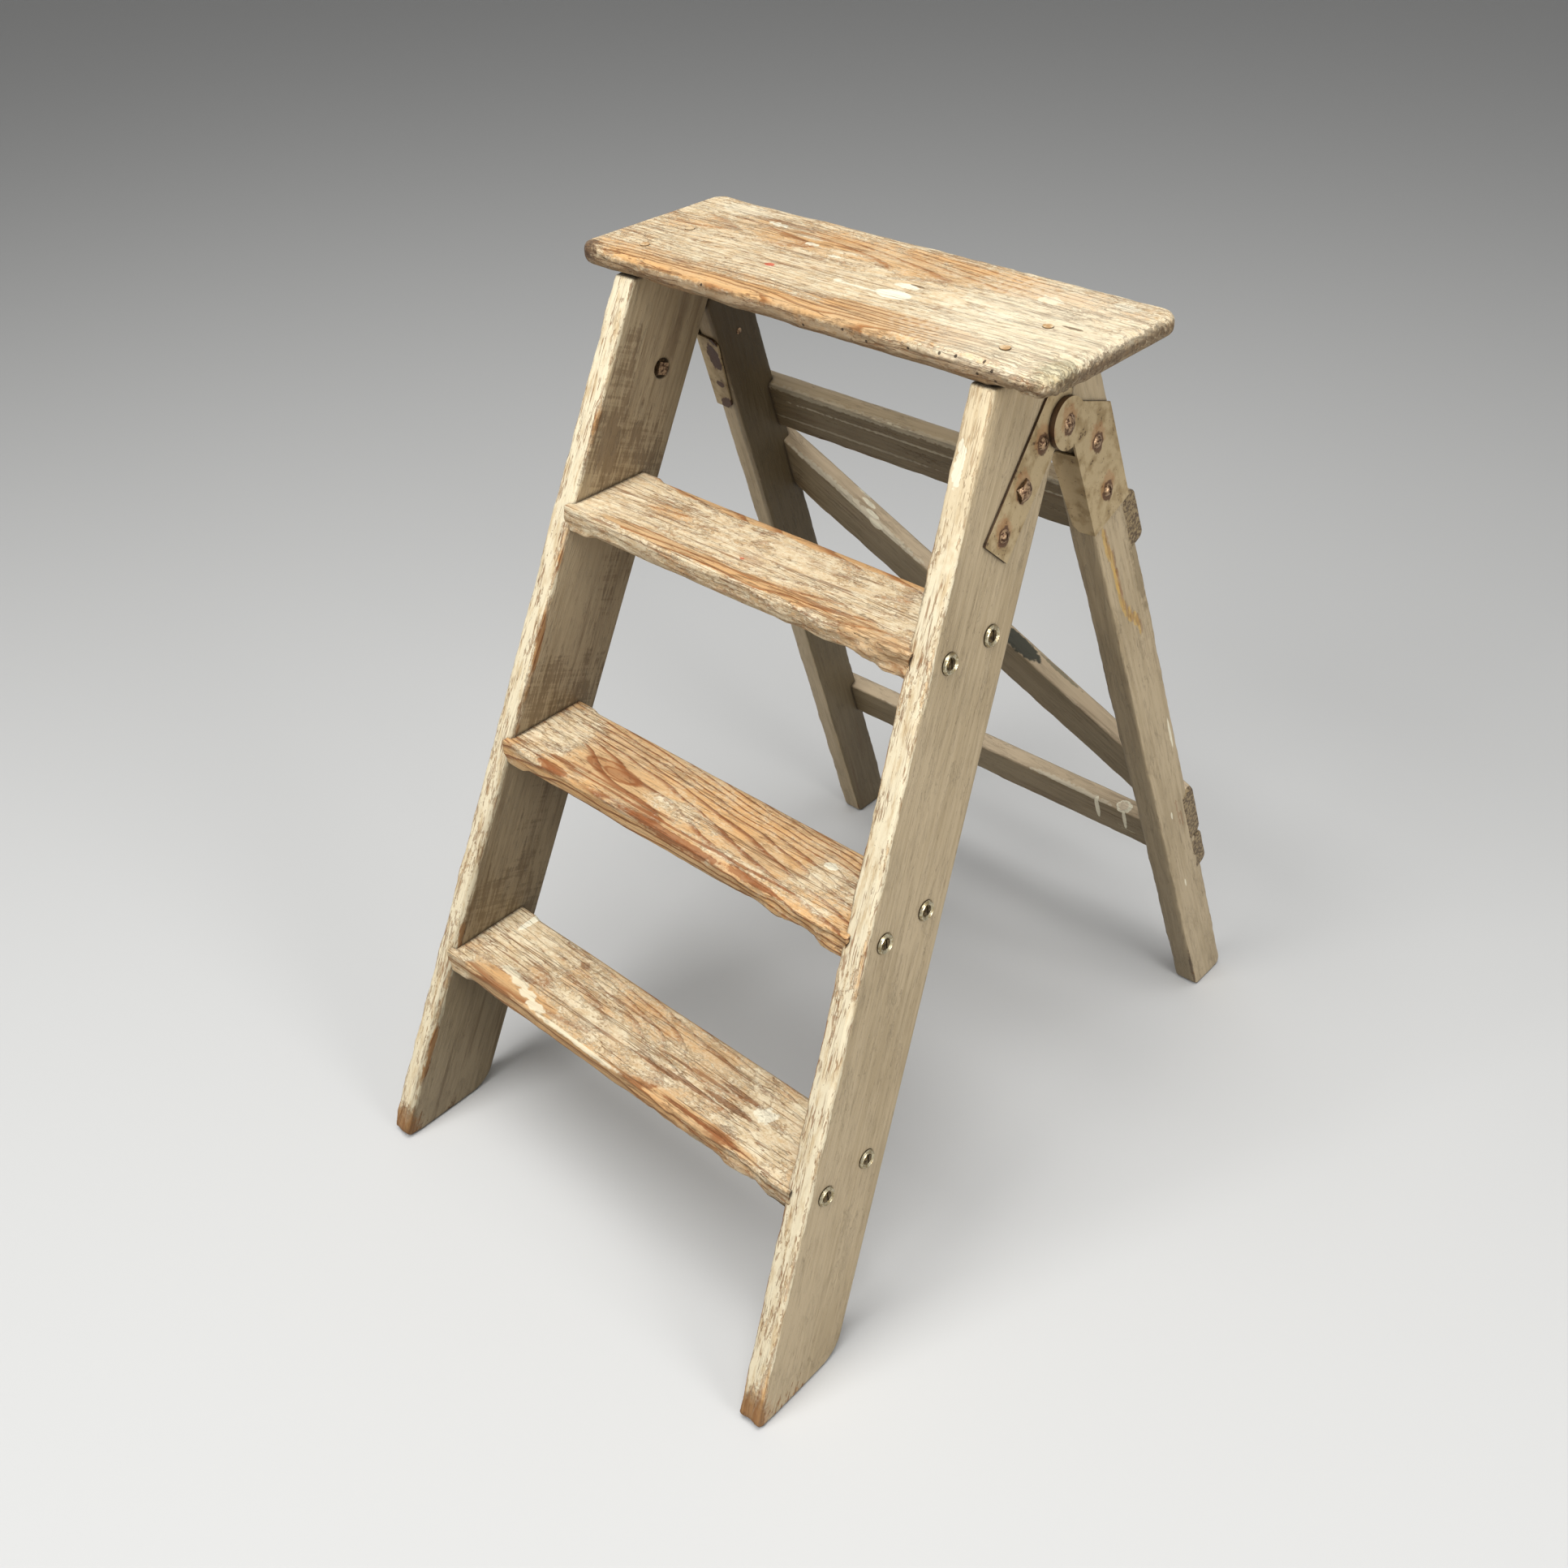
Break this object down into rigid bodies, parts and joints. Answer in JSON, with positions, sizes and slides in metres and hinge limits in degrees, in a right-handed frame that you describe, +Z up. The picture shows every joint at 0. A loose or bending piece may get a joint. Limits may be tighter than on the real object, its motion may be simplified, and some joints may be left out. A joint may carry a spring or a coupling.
{
  "type": "step ladder",
  "caption": "Folding wooden step ladder: leaning front frame with housed treads and a top board, and a braced rear frame hinged to it by steel straps.",
  "frame": {"origin": "on the floor, at the centre of the open ladder's footprint", "axes": "+X to the right as one climbs, +Y from the front frame to the rear frame, +Z up"},
  "size_m": [0.5656, 0.85, 0.907],
  "materials": {
    "painted_timber": "greige paint, streaked and worn",
    "worn_tread": "bare worn pine with traces of paint",
    "top_board_paint": "cream paint worn through to the wood",
    "painted_plate": "greige paint with rust",
    "rusty_steel": "rusty",
    "cup_washer": "tarnished nickel plate",
    "screw_steel": "dull",
    "nail_steel": "painted over"
  },
  "bodies": {
    "front_frame": {"board_screws": "nail_steel", "left_bolt_nut": "rusty_steel", "left_bolt_washer": "rusty_steel", "left_cup_washers": "cup_washer", "left_hinge_strap": "painted_plate", "left_pivot_rivet": "rusty_steel", "left_strap_bolt": "rusty_steel", "left_strap_screws": "rusty_steel", "left_stringer": "painted_timber", "left_tread_screws": "screw_steel", "lower_tread": "worn_tread", "middle_tread": "worn_tread", "right_bolt_nut": "rusty_steel", "right_bolt_washer": "rusty_steel", "right_cup_washers": "cup_washer", "right_hinge_strap": "painted_plate", "right_pivot_rivet": "rusty_steel", "right_strap_bolt": "rusty_steel", "right_strap_screws": "rusty_steel", "right_stringer": "painted_timber", "right_tread_screws": "screw_steel", "top_board": "top_board_paint", "upper_tread": "worn_tread"},
    "rear_frame": {"brace_nails": "nail_steel", "diagonal_brace": "painted_timber", "left_bracket_nail": "rusty_steel", "left_bracket_screw": "rusty_steel", "left_hinge_bracket": "painted_plate", "left_rear_leg": "painted_timber", "lower_rail": "painted_timber", "rail_nails": "nail_steel", "right_bracket_nail": "rusty_steel", "right_bracket_screw": "rusty_steel", "right_hinge_bracket": "painted_plate", "right_rear_leg": "painted_timber", "upper_rail": "painted_timber"}
  },
  "joints": [
    {"name": "rear_frame_fold", "type": "hinge", "parent": "front_frame", "child": "rear_frame", "pos_m": [0, 0.04901, 0.829], "axis": [-1, 0, 0], "range_deg": [0, 44]}
  ]
}
